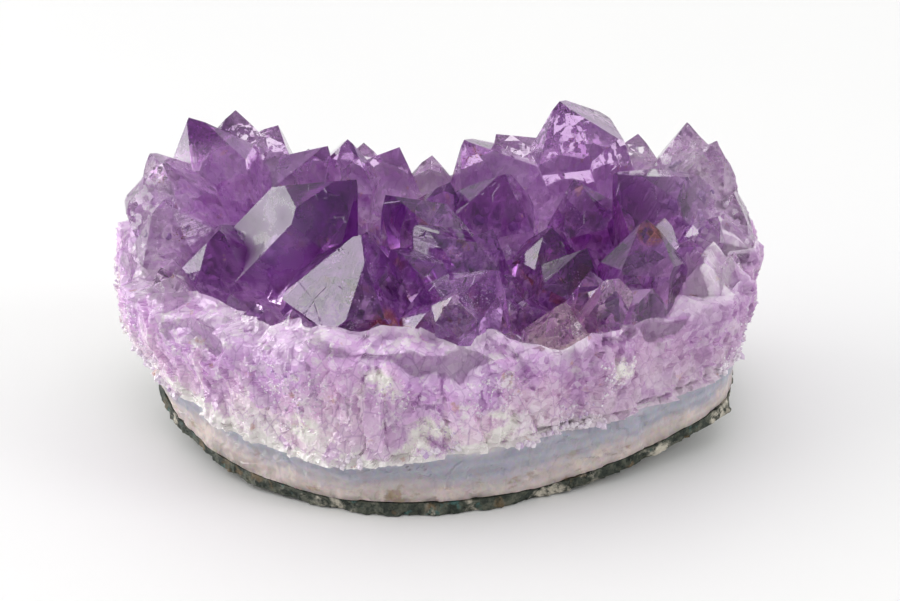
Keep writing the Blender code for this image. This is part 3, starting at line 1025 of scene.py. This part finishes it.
def veil_material():
    material, tree, shader, place = new_material("veil", Metallic=0.0, Roughness=0.25)
    colour = ramp(tree, attribute(tree, "tone"), (0.0, srgb(248, 240, 250)), (0.8, srgb(226, 206, 234)),
                  (0.86, srgb(150, 70, 48)), (1.0, srgb(104, 44, 34)))
    colour = mixed(tree, fade(tree, clouds(tree, place, 2.0), 0.4, 0.6, 0, 0.3), colour, srgb(240, 226, 240))
    finish_with(tree, shader, Base_Color=colour)
    return material


def unit_flake():
    """A flat flake of width 1: a hexagon, with a corner above and one below its middle."""
    upper = np.stack((CORNER, AFTER, np.full(6, 6)), axis=1).tolist()
    lower = np.stack((AFTER, CORNER, np.full(6, 7)), axis=1).tolist()
    return np.concatenate((hexagon(0), [(0, 0, 0.5), (0, 0, -0.5)])), upper + lower


def inside(corners, places):
    """A place is inside a closed solid where an odd number of its faces lie straight above it."""
    a, b, c = corners[:, 0], corners[:, 1] - corners[:, 0], corners[:, 2] - corners[:, 0]
    area = b[:, 0] * c[:, 1] - b[:, 1] * c[:, 0]
    a, b, c, area = (values[np.abs(area) > TINY] for values in (a, b, c, area))
    odd = np.zeros(len(places), bool)
    for part in np.array_split(np.arange(len(places)), PARTS):
        p = places[part][:, None] - a
        u = (p[..., 0] * c[:, 1] - p[..., 1] * c[:, 0]) / area
        v = (b[:, 0] * p[..., 1] - b[:, 1] * p[..., 0]) / area
        hit = (u >= 0) & (v >= 0) & (u + v <= 1) & (u * b[:, 2] + v * c[:, 2] > p[..., 2])
        odd[part] = hit.sum(axis=1) % 2 == 1
    return odd


def well_inside(corners, places, margin):
    """Inside, and still inside when moved by the margin in each level direction and upwards."""
    kept = inside(corners, places)
    for step in ((1, 0, 0), (-1, 0, 0), (0, 1, 0), (0, -1, 0), (0, 0, 1)):
        kept[kept] = inside(corners, places[kept] + margin * np.array(step))
    return kept


# Where a point is milky inside: the middle of the cloud, and how far it spreads each way.
CLOUDS = (((10, -27, 41), (3.4, 2.2, 2.8)), ((24, -30, 36), (3.0, 2.0, 2.0)), ((57, 4, 42), (3.5, 6.0, 3.0)),
          ((54, 24, 47), (4.0, 4.0, 3.5)), ((-58, -5, 43), (2.5, 4.0, 3.5)), ((25, 24, 50), (4.0, 3.0, 3.0)),
          ((-42, 25, 49), (4.0, 3.0, 3.0)), ((-14, -37, 34), (4.0, 2.0, 2.0)))


# How many veils, how many flakes in each and in each cloud, and how deep and wide a veil lies.
VEILS, VEIL_FLAKES, CLOUD_FLAKES = 40, 50, 260
VEIL_DEPTH, VEIL_SPREAD, VEIL_FLATNESS = (3.0, 7.0), (0.7, 1.8), 0.93

# The widths of the flakes in veils and clouds, their thickness as a share, and the clear margin.
VEIL_WIDTHS, CLOUD_WIDTHS, THICKNESS, MARGIN = (0.1, 0.42), (0.12, 0.4), 0.12, 0.7


def make_veils(number, flakes, cloud_flakes):
    """Middles are random places on the higher faces, moved inwards. Flakes lie around each, flattened
    to its own plane. Each cloud has its own spread each way. Flakes too near a face are left out."""
    luck = np.random.default_rng(8)
    middle = crystal_corners.mean(axis=1)
    a, b, c = (crystal_corners[:, k] for k in range(3))
    cross = np.cross(b - a, c - a)
    area = np.linalg.norm(cross, axis=1)
    chance = area * (middle[:, 2] > bed(middle[:, 0], middle[:, 1]) + 5) * (cross[:, 2] > 0)
    picked = luck.choice(len(middle), number, p=chance / chance.sum())
    share = luck.dirichlet((1, 1, 1), number)
    place = np.sum(crystal_corners[picked] * share[..., None], axis=1)
    inward = -cross[picked] / area[picked, None]
    place = place + inward * luck.uniform(*VEIL_DEPTH, number)[:, None]
    plane = luck.normal(0, 1, (number, 3))
    plane /= np.linalg.norm(plane, axis=1, keepdims=True)
    spread = luck.normal(0, 1, (number, flakes, 3)) * luck.uniform(*VEIL_SPREAD, number)[:, None, None]
    across = np.sum(spread * plane[:, None], axis=-1, keepdims=True) * plane[:, None]
    spread -= VEIL_FLATNESS * across
    places = (place[:, None] + spread).reshape(-1, 3)
    axes = np.repeat(plane, flakes, axis=0) + luck.normal(0, 0.15, (number * flakes, 3))
    widths = luck.uniform(*VEIL_WIDTHS, number * flakes)
    tones = np.repeat(luck.uniform(0, 1, number), flakes) * luck.uniform(0.9, 1, number * flakes)
    milky = [np.array(centre) + luck.normal(0, 1, (cloud_flakes, 3)) * size for centre, size in CLOUDS]
    count = len(CLOUDS) * cloud_flakes
    places = np.concatenate((places, *milky))
    axes = np.concatenate((axes, luck.normal(0, 1, (count, 3))))
    widths = np.concatenate((widths, luck.uniform(*CLOUD_WIDTHS, count)))
    tones = np.concatenate((tones, luck.uniform(0, 0.7, count)))
    kept = well_inside(crystal_corners, places, MARGIN)
    print(kept.sum(), "of", len(kept), "flakes lie inside the points")
    places, axes, widths, tones = (values[kept] for values in (places, axes, widths, tones))
    shape, heights = unit_flake(), THICKNESS * widths
    return copies("veils", shape, places, axes, widths, heights, tones, luck, veil_material())


veils = make_veils(VEILS, VEIL_FLAKES, CLOUD_FLAKES)
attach(veils, "root")

# %% [markdown]
# ## The floor
# The stone stands on a plain white table that goes on past the edge of the picture.

# %% Floor
FLOOR_REACH = 2000.0


def floor_material():
    material, tree, shader, place = new_material("white table", Roughness=0.6, Metallic=0.0)
    shade = fade(tree, clouds(tree, place, 300, 2.0), 0.3, 0.7)
    colour = mixed(tree, shade, srgb(243, 243, 243), srgb(246, 246, 245))
    finish_with(tree, shader, Base_Color=colour)
    return material


def make_floor():
    """A square sheet at height 0, two metres to each side of the stone."""
    corners = np.array(((-1, -1, 0), (1, -1, 0), (1, 1, 0), (-1, 1, 0))) * FLOOR_REACH
    return put_mesh("table", corners, [(0, 1, 2, 3)], floor_material())


make_floor()
